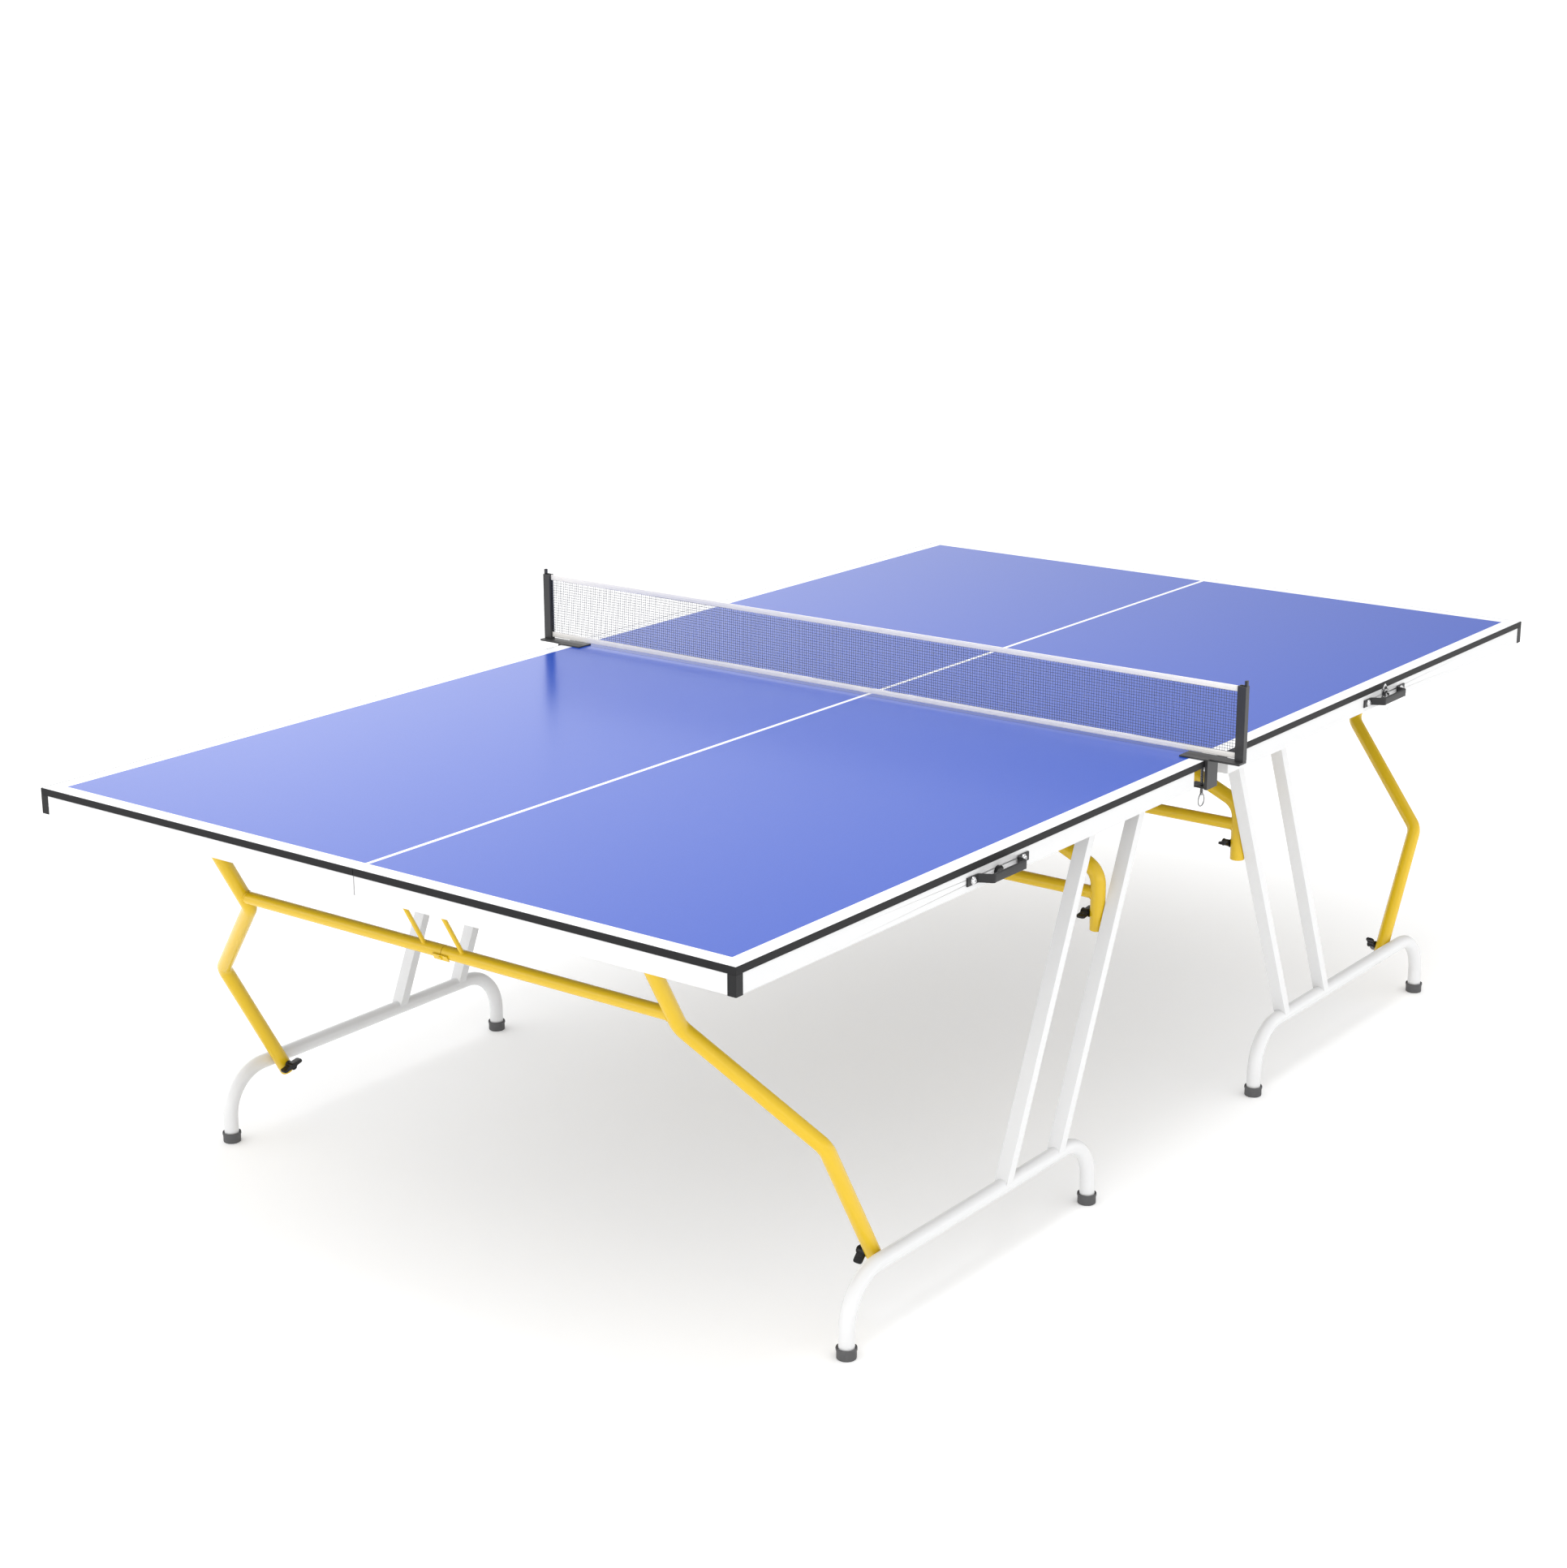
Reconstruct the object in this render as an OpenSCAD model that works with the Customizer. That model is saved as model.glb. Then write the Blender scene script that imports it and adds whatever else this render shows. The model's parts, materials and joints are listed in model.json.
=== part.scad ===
// Folding table tennis table: two half tables of two quarter boards each,
// white leg frames, yellow folding braces and a clamp-on net set.
//
// The origin is on the floor under the middle of the net. +X runs along the
// table to its far end, +Y to its left side and +Z up. The near half has
// X < 0. Every quarter is modelled at X > 0, Y > 0 and mirrored into place.

/* [Table top] */
// Length of the playing surface
top_l = 2740; // [2280:10:3290]
// Width of the playing surface
top_w = 1525; // [1270:5:1830]
// Height of the playing surface above the floor
top_h = 760; // [680:5:912]
// Thickness of the boards
board_t = 12; // [9:0.5:18]
// Gap between neighbouring boards
board_gap = 1; // [0.5:0.5:3]
// Thickness of the black band around the boards
band_t = 2; // [1:0.5:4]

/* [Apron] */
// Height of the apron's box tube
apron_h = 33; // [25:1:45]
// Width of the apron's box tube
apron_w = 25; // [18:1:30]
// Wall of the apron's box tube
apron_wall = 1.5; // [1:0.25:2.5]
// Set-back of the apron's face behind the band's face
apron_inset = 1; // [0.5:0.5:3]
// Distance of the aprons from the net line, which leaves room for the clamps
apron_net_gap = 62; // [50:1:90]
// Width of the black corner protectors along each face
corner_w = 16; // [12:1:22]

/* [Leg frames] */
// Outer diameter of the foot rail's tube
rail_d = 27; // [22:0.5:32]
// Wall of the foot rail's tube
rail_wall = 1.5; // [1:0.25:3]
// Height of the foot rail's centre line
rail_z = 133; // [110:1:160]
// Distance of the foot rail's centre line from the table's side
rail_inset = 48.5; // [40:0.5:60]
// Bend radius of the foot rail's centre line
rail_bend = 85; // [60:1:100]
// Distance of the outer feet from the table's end
foot_end_inset = 333; // [280:1:400]
// Distance of the inner feet from the net line
foot_net_gap = 311; // [260:1:360]
// Width of the posts' tube across the table
post_w = 25; // [20:1:28]
// Depth of the posts' tube along the table
post_d = 18; // [14:1:22]
// Wall of the posts' tube
post_wall = 1.5; // [1:0.25:2.5]
// Lean of the posts from upright
post_lean = 23.3; // [18:0.1:26]
// Distance of the inner post's pivot from the net line
post_net_gap = 165; // [150:1:190]
// Distance between the two posts' pivots
post_pitch = 167; // [120:1:200]
// Diameter of the rubber foot caps
cap_d = 33; // [30:0.5:42]
// Height of the rubber foot caps
cap_h = 20; // [15:1:30]

/* [Braces] */
// Outer diameter of the brace legs
leg_d = 27; // [26:0.5:30]
// Outer diameter of the crossbars
bar_d = 23; // [18:0.5:23.5]
// Wall of the brace tubes
brace_wall = 1.5; // [1:0.25:2]
// Bend radius of the outer brace legs' centre line
outer_bend = 35; // [28:1:40]
// Bend radius of the inner brace legs' centre line
inner_bend = 40; // [28:1:42]
// Distance of the brace legs' upper parts from the middle seam
leg_top_y = 484; // [440:1:520]
// Height of the hinge pins below the boards
hinge_drop = 26; // [24:1:30]
// Distance of the outer braces' hinge line from the table's end
hinge_end_inset = 109; // [90:1:140]
// Distance of the outer knobs from the start of the foot rail's bend
knob_bend_gap = 27; // [22:1:40]
// Length of the legs' straight upper part on the outer braces
outer_upper_l = 206; // [200:1:230]
// Length of the legs' straight lower part on the outer braces
outer_lower_l = 281; // [220:1:320]
// Distance of the outer crossbars from their hinge line
outer_bar_s = 179; // [160:1:180]
// Length of the legs' straight upper part on the inner braces
inner_upper_l = 32; // [30:1:40]
// Distance of the inner braces' lower bend from the hinge line
inner_bend_s = 122; // [110:1:140]
// Distance of the inner crossbars from their hinge line
inner_bar_s = 163; // [150:1:170]
// Length of the inner brace legs from the hinge line
inner_l = 230; // [220:1:260]
// Distance of the inner knobs from the hinge line
inner_knob_s = 202; // [190:1:205]
// Diameter of the thin stay rods beside the seam
rod_d = 8; // [6:0.5:10]
// Distance of the stay rods from the seam
rod_y = 43; // [36:1:60]

/* [Net] */
// Height of the net's upper edge above the boards
net_h = 140; // [120:1:155]
// Height of the net's lower edge above the boards
net_low = 6; // [5:1:10]
// Overhang of the net posts' centres beyond the table's side
net_overhang = 55.5; // [40:0.5:70]
// Width of the net posts across the table
net_post_w = 17; // [12:1:22]
// Depth of the net posts along the table
net_post_d = 13; // [10:1:18]
// Width of the clamps along the table
clamp_w = 38; // [30:1:46]
// Set-back of the clamps from the net line towards the near end
clamp_offset = 10; // [0:1:14]
// Diameter of the clamp screws
screw_d = 6; // [5:0.5:8]

/* [Fittings] */
// Distance of the carry handles' centres from the net line
handle_x = 698; // [600:1:800]
// Distance between a carry handle's two screws
handle_pitch = 146; // [130:1:160]
// Reach of a carry handle's grip from the apron
handle_reach = 26; // [22:1:34]
// Height of a carry handle's strap
handle_h = 15; // [12:1:18]
// Span of the wing knobs
wing_span = 44; // [36:1:46]
// Diameter of the hinge pins
pin_d = 8; // [6:0.5:9]

/* [Clearances] */
// Gap between a brace and the leg frame it is fixed to
brace_gap = 0.5; // [0.3:0.1:1]
// Radial running clearance of pins and screws
run_gap = 0.05; // [0.02:0.01:0.1]
// Gap beside a moving part
side_gap = 0.5; // [0.3:0.1:1]

/* [Hidden] */
$fn = 48;

// Helpers
bend_lap = 3;
bend_swell = 0.3;

half_l = top_l / 2;
half_w = top_w / 2;
board_z = top_h - board_t;
apron_z = board_z - apron_h;
apron_face = half_w - apron_inset;

// Leg frames
foot_out_x = half_l - foot_end_inset;
rail_y = half_w - rail_inset;
pivot_z = board_z - 18;
post_out_x = post_net_gap + post_pitch;
cap_floor = 4;
cap_lip_h = 5;
cap_lip_d = cap_d + 2;

// Braces
hinge_z = board_z - hinge_drop;
leg_y = rail_y - rail_d / 2 - brace_gap - leg_d / 2;
outer_hinge_x = half_l - hinge_end_inset;
outer_knob_x = foot_out_x - rail_bend - knob_bend_gap;
outer_knob_z = rail_z - 5;
outer_tilt = atan2(outer_hinge_x - outer_knob_x, hinge_z - outer_knob_z);
outer_knob_s = (hinge_z - outer_knob_z) / cos(outer_tilt);
outer_end_s = outer_knob_s + 18;
inner_x = post_net_gap + tan(post_lean) * (pivot_z - (hinge_z - inner_knob_s));
leg_top_s = -9;
eye_d = 16;

// Couplers between the half crossbars
coupler_l = 90;
coupler_wall = 2;
coupler_gap = 0.1;
button_x = 11;
button_d = 7;
clip_l = 33;
clip_w = 12;
clip_t = 2;
clip_lift = 0.3;

// Brackets and pins
cheek_t = 3;
bracket_base_t = 2.5;
bracket_in = leg_d + 2 * side_gap;
bracket_out = bracket_in + 2 * cheek_t;
pin_head_t = 2;
pin_head_d = pin_d + 5;
leg_bracket_in = post_d / cos(post_lean) + 14;

// Hinges under the seam
hinge_leaf_l = 80;
hinge_leaf_w = 32;
hinge_leaf_t = 2;
knuckle_d = 8;
seam_hinge_offset = 150;

// Net set
net_t = 1.5;
post_y = half_w + net_overhang;
net_post_in_y = post_y - net_post_w / 2;
net_top_z = top_h + net_h;
net_post_z = top_h + 3;
clamp_plate_t = 3;
clamp_body_t = 6;
clamp_side_y = half_w + 0.5;
clamp_jaw_z = board_z - 37;
screw_y = half_w - 14;
pad_t = 3;
ring_r = 11;
ring_wire = 2.5;
ring_z = clamp_jaw_z - 30;

// Knobs
stud_d = 8;
knob_hub_d = 15;
wing_t = 7;
knob_reach = 18;
outer_left_turn = -15;
outer_right_turn = 17;
inner_turn = 10;

// Handles
handle_z = apron_z + apron_h / 2 + 1;
handle_t = 3;
handle_tab_l = 32;
grip_l = 92;
grip_t = 5;
handle_screw_d = 5;
handle_screw_head_d = 11;

// Latches
latch_w = 22;
latch_pin_d = 3;
latch_pin_y = 5;

NEAR = -1;
FAR = 1;
LEFT = 1;
RIGHT = -1;

// ---- helpers ----

// Places a quarter that is modelled at X > 0, Y > 0.
module at(end, side) {
    mirror([end < 0 ? 1 : 0, 0, 0]) mirror([0, side < 0 ? 1 : 0, 0]) children();
}

module each_quarter() {
    for (end = [NEAR, FAR], side = [LEFT, RIGHT]) at(end, side) children();
}

// A box from one corner to the opposite one.
module span(a, b) {
    translate(a) cube(b - a);
}

function heading(p, q) = atan2(q.y - p.y, q.x - p.x);
function turn(a, b) = let (t = b - a) t > 180 ? t - 360 : t < -180 ? t + 360 : t;

// A round bar of radius r from p to q in the XY plane.
module bar(p, q, r) {
    translate([p.x, p.y, 0]) rotate([0, 90, heading(p, q)]) cylinder(r = r, h = norm(q - p));
}

// A round bar of radius r along the points pts in the XY plane, bent at bend_r.
// With a lap, in degrees, each bend reaches that far over the straights and is
// a little thicker, so that no two surfaces coincide.
module bent_bar(pts, r, bend_r, lap = 0) {
    n = len(pts);
    t = [for (i = [1 : n - 2]) turn(heading(pts[i - 1], pts[i]), heading(pts[i], pts[i + 1]))];
    cut = [0, for (a = t) bend_r * tan(abs(a) / 2), 0];
    for (i = [0 : n - 2]) {
        d = (pts[i + 1] - pts[i]) / norm(pts[i + 1] - pts[i]);
        bar(pts[i] + d * cut[i], pts[i + 1] - d * cut[i + 1], r);
    }
    for (i = [1 : n - 2]) {
        a = heading(pts[i - 1], pts[i]);
        left = t[i - 1] > 0 ? 1 : -1;
        start = pts[i] - [cos(a), sin(a)] * cut[i];
        centre = start + [-sin(a), cos(a)] * bend_r * left;
        translate([centre.x, centre.y, 0])
            rotate([0, 0, (left > 0 ? a - 90 : a + 90 + t[i - 1]) - lap])
            rotate_extrude(angle = abs(t[i - 1]) + 2 * lap)
            translate([bend_r, 0]) circle(r = lap > 0 ? r + bend_swell : r);
    }
}

// Moves both ends of a route outwards by d, so that a bore cuts right through.
function longer(pts, d) = let (
    n = len(pts),
    a = (pts[0] - pts[1]) / norm(pts[0] - pts[1]),
    b = (pts[n - 1] - pts[n - 2]) / norm(pts[n - 1] - pts[n - 2])
) [for (i = [0 : n - 1]) i == 0 ? pts[0] + a * d : i == n - 1 ? pts[i] + b * d : pts[i]];

// ---- table top ----

module board() {
    color("cornflowerblue")
    span([board_gap / 2, board_gap / 2, board_z], [half_l - band_t, half_w - band_t, top_h]);
}

module edge_band() {
    color("dimgray")
    difference() {
        span([board_gap / 2, board_gap / 2, board_z], [half_l, half_w, top_h]);
        span([-1, -1, board_z - 1], [half_l - band_t, half_w - band_t, top_h + 1]);
    }
}

// Side, end and net-side rails of one quarter, welded into a U.
module apron_solid(inset, past) {
    x_net = apron_net_gap + inset;
    x_end = half_l - apron_inset - inset;
    y_side = apron_face - inset;
    y_seam = board_gap / 2 - past;
    z0 = apron_z + inset;
    z1 = board_z - inset;
    w = apron_w - 2 * inset;
    span([x_net, y_side - w, z0], [half_l - corner_w + past, y_side, z1]);
    span([x_end - w, y_seam, z0], [x_end, half_w - corner_w + past, z1]);
    span([x_net, y_seam, z0], [x_net + w, y_side, z1]);
}

module apron() {
    color("white")
    difference() {
        apron_solid(0, 0);
        apron_solid(apron_wall, 1);
        each_handle_screw_hole();
    }
}

module each_handle_screw_hole() {
    for (s = [-1, 1])
        translate([handle_x + s * handle_pitch / 2, apron_face + 1, handle_z])
        rotate([90, 0, 0]) cylinder(d = handle_screw_d + 2 * run_gap, h = apron_wall + 2);
}

module corner_protectors() {
    color("dimgray")
    each_quarter()
    span([half_l - corner_w, half_w - corner_w, apron_z - 0.5], [half_l, half_w, board_z]);
}

// ---- leg frames ----

rail_pts = [
    [foot_net_gap, cap_floor], [foot_net_gap, rail_z], [foot_out_x, rail_z], [foot_out_x, cap_floor]
];

// Draws in the XZ plane what is modelled in the XY plane.
module upright(y) {
    translate([0, y, 0]) rotate([90, 0, 0]) children();
}

// A post's tube from the rail's centre line to its top; inset makes its bore.
module post(pivot_x, inset, low, high) {
    w = post_w - 2 * inset;
    d = post_d - 2 * inset;
    translate([pivot_x, rail_y, pivot_z])
        rotate([0, -post_lean, 0])
        mirror([0, 0, 1]) translate([-d / 2, -w / 2, -high])
        cube([d, w, low + high]);
}

module leg_frame() {
    post_l = (pivot_z - rail_z) / cos(post_lean);
    color("whitesmoke")
    difference() {
        union() {
            upright(rail_y) bent_bar(rail_pts, rail_d / 2, rail_bend);
            for (x = [post_net_gap, post_out_x]) post(x, 0, post_l, 8);
        }
        upright(rail_y) bent_bar(longer(rail_pts, 1), rail_d / 2 - rail_wall, rail_bend);
        for (x = [post_net_gap, post_out_x]) {
            post(x, post_wall, post_l - rail_d, 12);
            translate([x - post_d, rail_y, pivot_z]) rotate([0, 90, 0])
                cylinder(d = pin_d + 2 * run_gap, h = 2 * post_d);
        }
    }
}

module foot_caps() {
    color("dimgray")
    each_quarter()
    for (x = [foot_net_gap, foot_out_x]) translate([x, rail_y, 0])
        difference() {
            union() {
                cylinder(d = cap_d, h = cap_h);
                translate([0, 0, cap_h - cap_lip_h]) cylinder(d = cap_lip_d, h = cap_lip_h);
            }
            translate([0, 0, cap_floor]) cylinder(d = rail_d, h = cap_h);
        }
}

// A pin along Z with a head beyond reach at both ends.
module headed_pin(reach) {
    translate([0, 0, -reach - pin_head_t]) cylinder(d = pin_d, h = 2 * (reach + pin_head_t));
    for (z = [-reach - pin_head_t, reach]) translate([0, 0, z]) cylinder(d = pin_head_d, h = pin_head_t);
}

// U bracket that holds the top of a post, under the board.
module leg_bracket() {
    y0 = rail_y - 9;
    y1 = rail_y + 14;
    color("silver")
    difference() {
        union() {
            span([-leg_bracket_in / 2 - cheek_t, y0, board_z - bracket_base_t],
                 [leg_bracket_in / 2 + cheek_t, y1, board_z]);
            for (s = [-1, 1]) translate([s * (leg_bracket_in + cheek_t) / 2, 0, 0])
                span([-cheek_t / 2, y0, pivot_z - 12], [cheek_t / 2, y1, board_z - bracket_base_t]);
        }
        translate([-leg_bracket_in, rail_y, pivot_z]) rotate([0, 90, 0])
            cylinder(d = pin_d + 2 * run_gap, h = 2 * leg_bracket_in);
    }
}

module leg_brackets() {
    each_quarter() for (x = [post_net_gap, post_out_x]) translate([x, 0, 0]) leg_bracket();
}

module leg_pivot_bolts() {
    color("silver")
    each_quarter() for (x = [post_net_gap, post_out_x])
        translate([x, rail_y, pivot_z]) rotate([0, 90, 0]) headed_pin(leg_bracket_in / 2 + cheek_t);
}

// ---- braces ----

// Route of a brace leg: X is the distance from the seam, Y the distance down
// the brace from its hinge line.
outer_leg_pts = [
    [leg_top_y, leg_top_s], [leg_top_y, outer_upper_l],
    [leg_y, outer_end_s - outer_lower_l], [leg_y, outer_end_s]
];
inner_leg_pts = [
    [leg_top_y, leg_top_s], [leg_top_y, inner_upper_l], [leg_y, inner_bend_s], [leg_y, inner_l]
];

// Stands a flat brace up: its own XY plane becomes the plane through the hinge
// line at hinge_x that leans by tilt, with the brace's Y axis pointing down.
module on_hinge(hinge_x, tilt) {
    translate([hinge_x, 0, hinge_z]) rotate([0, tilt, 0])
        rotate([0, 0, 90]) rotate([-90, 0, 0]) children();
}

// One quarter's brace: leg, half crossbar and stay rod, welded together.
module flat_brace(pts, bend_r, bar_x, bar_s, knob_s) {
    brace_leg(pts, bend_r, knob_s);
    brace_bar(bar_x, bar_s);
    brace_rod(bar_s);
}

module brace_leg(pts, bend_r, knob_s) {
    difference() {
        bent_bar(pts, leg_d / 2, bend_r, bend_lap);
        bent_bar(longer(pts, 1), leg_d / 2 - brace_wall, bend_r, bend_lap);
        bar([leg_top_y - leg_d, 0], [leg_top_y + leg_d, 0], pin_d / 2 + run_gap);
        bar([leg_y - leg_d, knob_s], [leg_y + leg_d, knob_s], stud_d / 2 + run_gap);
    }
}

// Half crossbar, coped into the wall of the leg whose centre is at bar_x.
module brace_bar(bar_x, bar_s) {
    seam = board_gap / 2;
    difference() {
        bar([seam, bar_s], [bar_x, bar_s], bar_d / 2);
        bar([bar_x, bar_s - bar_d], [bar_x, bar_s + bar_d], (leg_d - brace_wall) / 2);
        bar([seam - 1, bar_s], [bar_x - leg_d / 2 - 1, bar_s], bar_d / 2 - brace_wall);
        translate([button_x, bar_s, -bar_d]) cylinder(d = button_d + 2 * run_gap, h = bar_d);
    }
}

// Stay rod between the crossbar's wall and an eye on the hinge pin.
module brace_rod(bar_s) {
    difference() {
        union() {
            bar([rod_y, 0], [rod_y, bar_s - (bar_d - brace_wall) / 2], rod_d / 2);
            bar([rod_y - leg_d / 2, 0], [rod_y + leg_d / 2, 0], eye_d / 2);
        }
        bar([rod_y - leg_d, 0], [rod_y + leg_d, 0], pin_d / 2 + run_gap);
    }
}

module outer_brace() {
    color("goldenrod")
    on_hinge(outer_hinge_x, outer_tilt)
        flat_brace(outer_leg_pts, outer_bend, leg_top_y, outer_bar_s, outer_knob_s);
}

module inner_brace() {
    color("goldenrod")
    on_hinge(inner_x, 0)
        flat_brace(inner_leg_pts, inner_bend, leg_y, inner_bar_s, inner_knob_s);
}

// Sleeve inside the two half crossbars, with a clip plate outside that holds
// them together by two buttons.
module flat_coupler(bar_s) {
    r = bar_d / 2 - brace_wall - coupler_gap;
    clip_z = -bar_d / 2 - clip_lift - clip_t;
    difference() {
        union() {
            bar([-coupler_l / 2, bar_s], [coupler_l / 2, bar_s], r);
            for (x = [-button_x, button_x]) translate([x, bar_s, clip_z + 1])
                cylinder(d = button_d, h = -clip_z - 1);
            span([-clip_l / 2, bar_s - clip_w / 2, clip_z],
                 [clip_l / 2, bar_s + clip_w / 2, clip_z + clip_t]);
            translate([0, bar_s, clip_z - 2]) cylinder(d = button_d, h = 3);
        }
        bar([-coupler_l, bar_s], [coupler_l, bar_s], r - coupler_wall);
    }
}

module outer_coupler() {
    color("goldenrod") on_hinge(outer_hinge_x, outer_tilt) flat_coupler(outer_bar_s);
}

module inner_coupler() {
    color("goldenrod") on_hinge(inner_x, 0) flat_coupler(inner_bar_s);
}

// U bracket that carries a hinge pin under the board.
module brace_bracket() {
    lug_r = pin_d / 2 + 5;
    base_z = board_z - bracket_base_t;
    span([-18, -bracket_out / 2, base_z], [18, bracket_out / 2, board_z]);
    for (s = [-1, 1]) translate([0, s * (bracket_in + cheek_t) / 2, 0])
        rotate([90, 0, 0]) translate([0, 0, -cheek_t / 2]) linear_extrude(cheek_t)
        difference() {
            union() {
                translate([0, hinge_z]) circle(r = lug_r);
                polygon([[-lug_r, hinge_z], [lug_r, hinge_z], [14, base_z], [-14, base_z]]);
            }
            translate([0, hinge_z]) circle(d = pin_d + 2 * run_gap);
        }
}

module each_brace_hinge() {
    each_quarter() for (x = [inner_x, outer_hinge_x], y = [rod_y, leg_top_y])
        translate([x, y, 0]) children();
}

module brace_brackets() {
    color("silver") each_brace_hinge() brace_bracket();
}

module brace_pins() {
    color("silver")
    each_brace_hinge() translate([0, 0, hinge_z]) rotate([90, 0, 0]) headed_pin(bracket_out / 2);
}

// Butt hinges that join the two quarters of a half under their seam.
module seam_hinges() {
    color("silver")
    for (end = [NEAR, FAR]) mirror([end < 0 ? 1 : 0, 0, 0])
        for (s = [-1, 1]) translate([handle_x + s * seam_hinge_offset, 0, 0]) {
            span([-hinge_leaf_l / 2, -hinge_leaf_w, board_z - hinge_leaf_t],
                 [hinge_leaf_l / 2, hinge_leaf_w, board_z]);
            translate([-hinge_leaf_l / 2, 0, board_z - hinge_leaf_t - knuckle_d / 2 + 1])
                rotate([0, 90, 0]) cylinder(d = knuckle_d, h = hinge_leaf_l);
        }
}

// ---- wing knobs ----

// Wing knob with its stud along Y; the brace leg's inner side is at Y = 0.
module wing_knob() {
    color("dimgray") {
        rotate([-90, 0, 0]) translate([0, 0, -1]) cylinder(d = stud_d, h = leg_d + 1);
        rotate([90, 0, 0]) translate([0, 0, side_gap]) {
            cylinder(d = knob_hub_d, h = knob_reach - side_gap + 1);
            linear_extrude(knob_reach - side_gap) wing_section();
        }
    }
}

module wing_section() {
    for (s = [-1, 1]) {
        translate([s * (wing_span - wing_t) / 2, 0]) circle(d = wing_t);
        translate([s * (wing_span - wing_t) / 4, 0])
            square([(wing_span - wing_t) / 2, wing_t - 2], center = true);
    }
}

// Places a knob on a brace at distance s down from the hinge line.
module knob_on(hinge_x, tilt, s, wing_turn) {
    translate([hinge_x, 0, hinge_z]) rotate([0, tilt, 0])
        translate([0, leg_y - leg_d / 2, -s]) rotate([0, wing_turn, 0]) children();
}

module outer_knob(wing_turn) {
    knob_on(outer_hinge_x, outer_tilt, outer_knob_s, wing_turn) wing_knob();
}

module inner_knob() {
    knob_on(inner_x, 0, inner_knob_s, inner_turn) wing_knob();
}

// ---- net set ----

module net() {
    color("white")
    span([-net_t / 2, -net_post_in_y + 0.3, top_h + net_low],
         [net_t / 2, net_post_in_y - 0.3, net_top_z - 1]);
}

// Channel post with a slot in its inner side and a hook for the net's cord.
module net_post() {
    color("dimgray")
    difference() {
        union() {
            span([-net_post_d / 2, net_post_in_y, net_post_z],
                 [net_post_d / 2, net_post_in_y + net_post_w, net_top_z]);
            span([-3, net_post_in_y + net_post_w - 5, net_top_z],
                 [3, net_post_in_y + net_post_w, net_top_z + 10]);
        }
        span([-net_post_d / 2 + 2.5, net_post_in_y + 3, net_post_z + 3],
             [net_post_d / 2 - 2.5, net_post_in_y + net_post_w - 3, net_top_z + 1]);
        span([-1.2, net_post_in_y - 1, net_post_z + 3], [1.2, net_post_in_y + 4, net_top_z + 1]);
    }
}

// C clamp: plate on the boards, side wall, jaw under the boards and an arm out
// to the net post.
module net_clamp() {
    x0 = -clamp_w / 2 - clamp_offset;
    x1 = clamp_w / 2 - clamp_offset;
    y1 = clamp_side_y + clamp_body_t;
    color("dimgray")
    difference() {
        union() {
            span([x0, half_w - 52, top_h], [x1, y1, top_h + clamp_plate_t]);
            span([x0, clamp_side_y, clamp_jaw_z - 4], [x1, y1, top_h + clamp_plate_t]);
            span([x0 + 6, half_w - 34, clamp_jaw_z - 4], [x1 - 6, y1, clamp_jaw_z]);
            span([x0 + 8, y1 - 1, top_h - 1], [net_post_d / 2, net_post_in_y + net_post_w, net_post_z]);
        }
        translate([-clamp_offset, screw_y, clamp_jaw_z - 5]) cylinder(d = screw_d + 2 * run_gap, h = 6);
    }
}

// Clamp screw with its pad under the board and a wire ring to turn it by.
module clamp_screw() {
    color("silver")
    translate([-clamp_offset, screw_y, 0]) {
        translate([0, 0, ring_z + ring_r]) cylinder(d = screw_d, h = board_z - pad_t - ring_z - ring_r);
        translate([0, 0, board_z - pad_t]) cylinder(d = screw_d + 6, h = pad_t - 0.3);
        translate([0, 0, ring_z]) rotate([90, 0, 0])
            rotate_extrude() translate([ring_r, 0]) circle(d = ring_wire);
    }
}

// ---- fittings ----

// Outline of a carry handle's strap seen from above: X along the table, Y out.
module handle_outline() {
    tab_x = handle_pitch / 2;
    for (s = [-1, 1]) mirror([s < 0 ? 1 : 0, 0]) {
        translate([tab_x - handle_tab_l / 2, 0]) square([handle_tab_l, handle_t]);
        polygon([
            [tab_x - handle_tab_l / 2, 0], [tab_x - handle_tab_l / 2 + 4, handle_t],
            [grip_l / 2, handle_reach], [grip_l / 2 - 6, handle_reach - handle_t]
        ]);
        translate([-1, handle_reach - grip_t]) square([grip_l / 2, grip_t]);
    }
}

module handle() {
    color("dimgray")
    translate([handle_x, apron_face, 0])
    difference() {
        translate([0, 0, handle_z - handle_h / 2]) linear_extrude(handle_h) handle_outline();
        for (s = [-1, 1]) translate([s * handle_pitch / 2, -1, handle_z])
            rotate([-90, 0, 0]) cylinder(d = handle_screw_d + 2 * run_gap, h = handle_t + 2);
    }
}

module handle_screws() {
    color("silver")
    each_quarter()
    for (s = [-1, 1]) translate([handle_x + s * handle_pitch / 2, apron_face, handle_z])
        rotate([-90, 0, 0]) {
            translate([0, 0, -apron_wall - 4]) cylinder(d = handle_screw_d, h = apron_wall + 4 + handle_t);
            translate([0, 0, handle_t]) cylinder(d = handle_screw_head_d, h = 3);
        }
}

// Latch on one quarter's apron, behind the handle's grip.
module latch_base() {
    color("silver")
    translate([handle_x, apron_face, 0]) {
        span([-latch_w / 2, 0, apron_z + 2], [latch_w / 2, 1.5, board_z - 2]);
        for (s = [-1, 1]) translate([s * 7, 0, handle_z])
            rotate([0, 90, 0]) translate([0, latch_pin_y, -1]) difference() {
                union() {
                    cylinder(r = 4, h = 2);
                    translate([-4, -latch_pin_y, 0]) cube([8, latch_pin_y, 2]);
                }
                translate([0, 0, -1]) cylinder(d = latch_pin_d + 2 * run_gap, h = 4);
            }
    }
}

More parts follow.
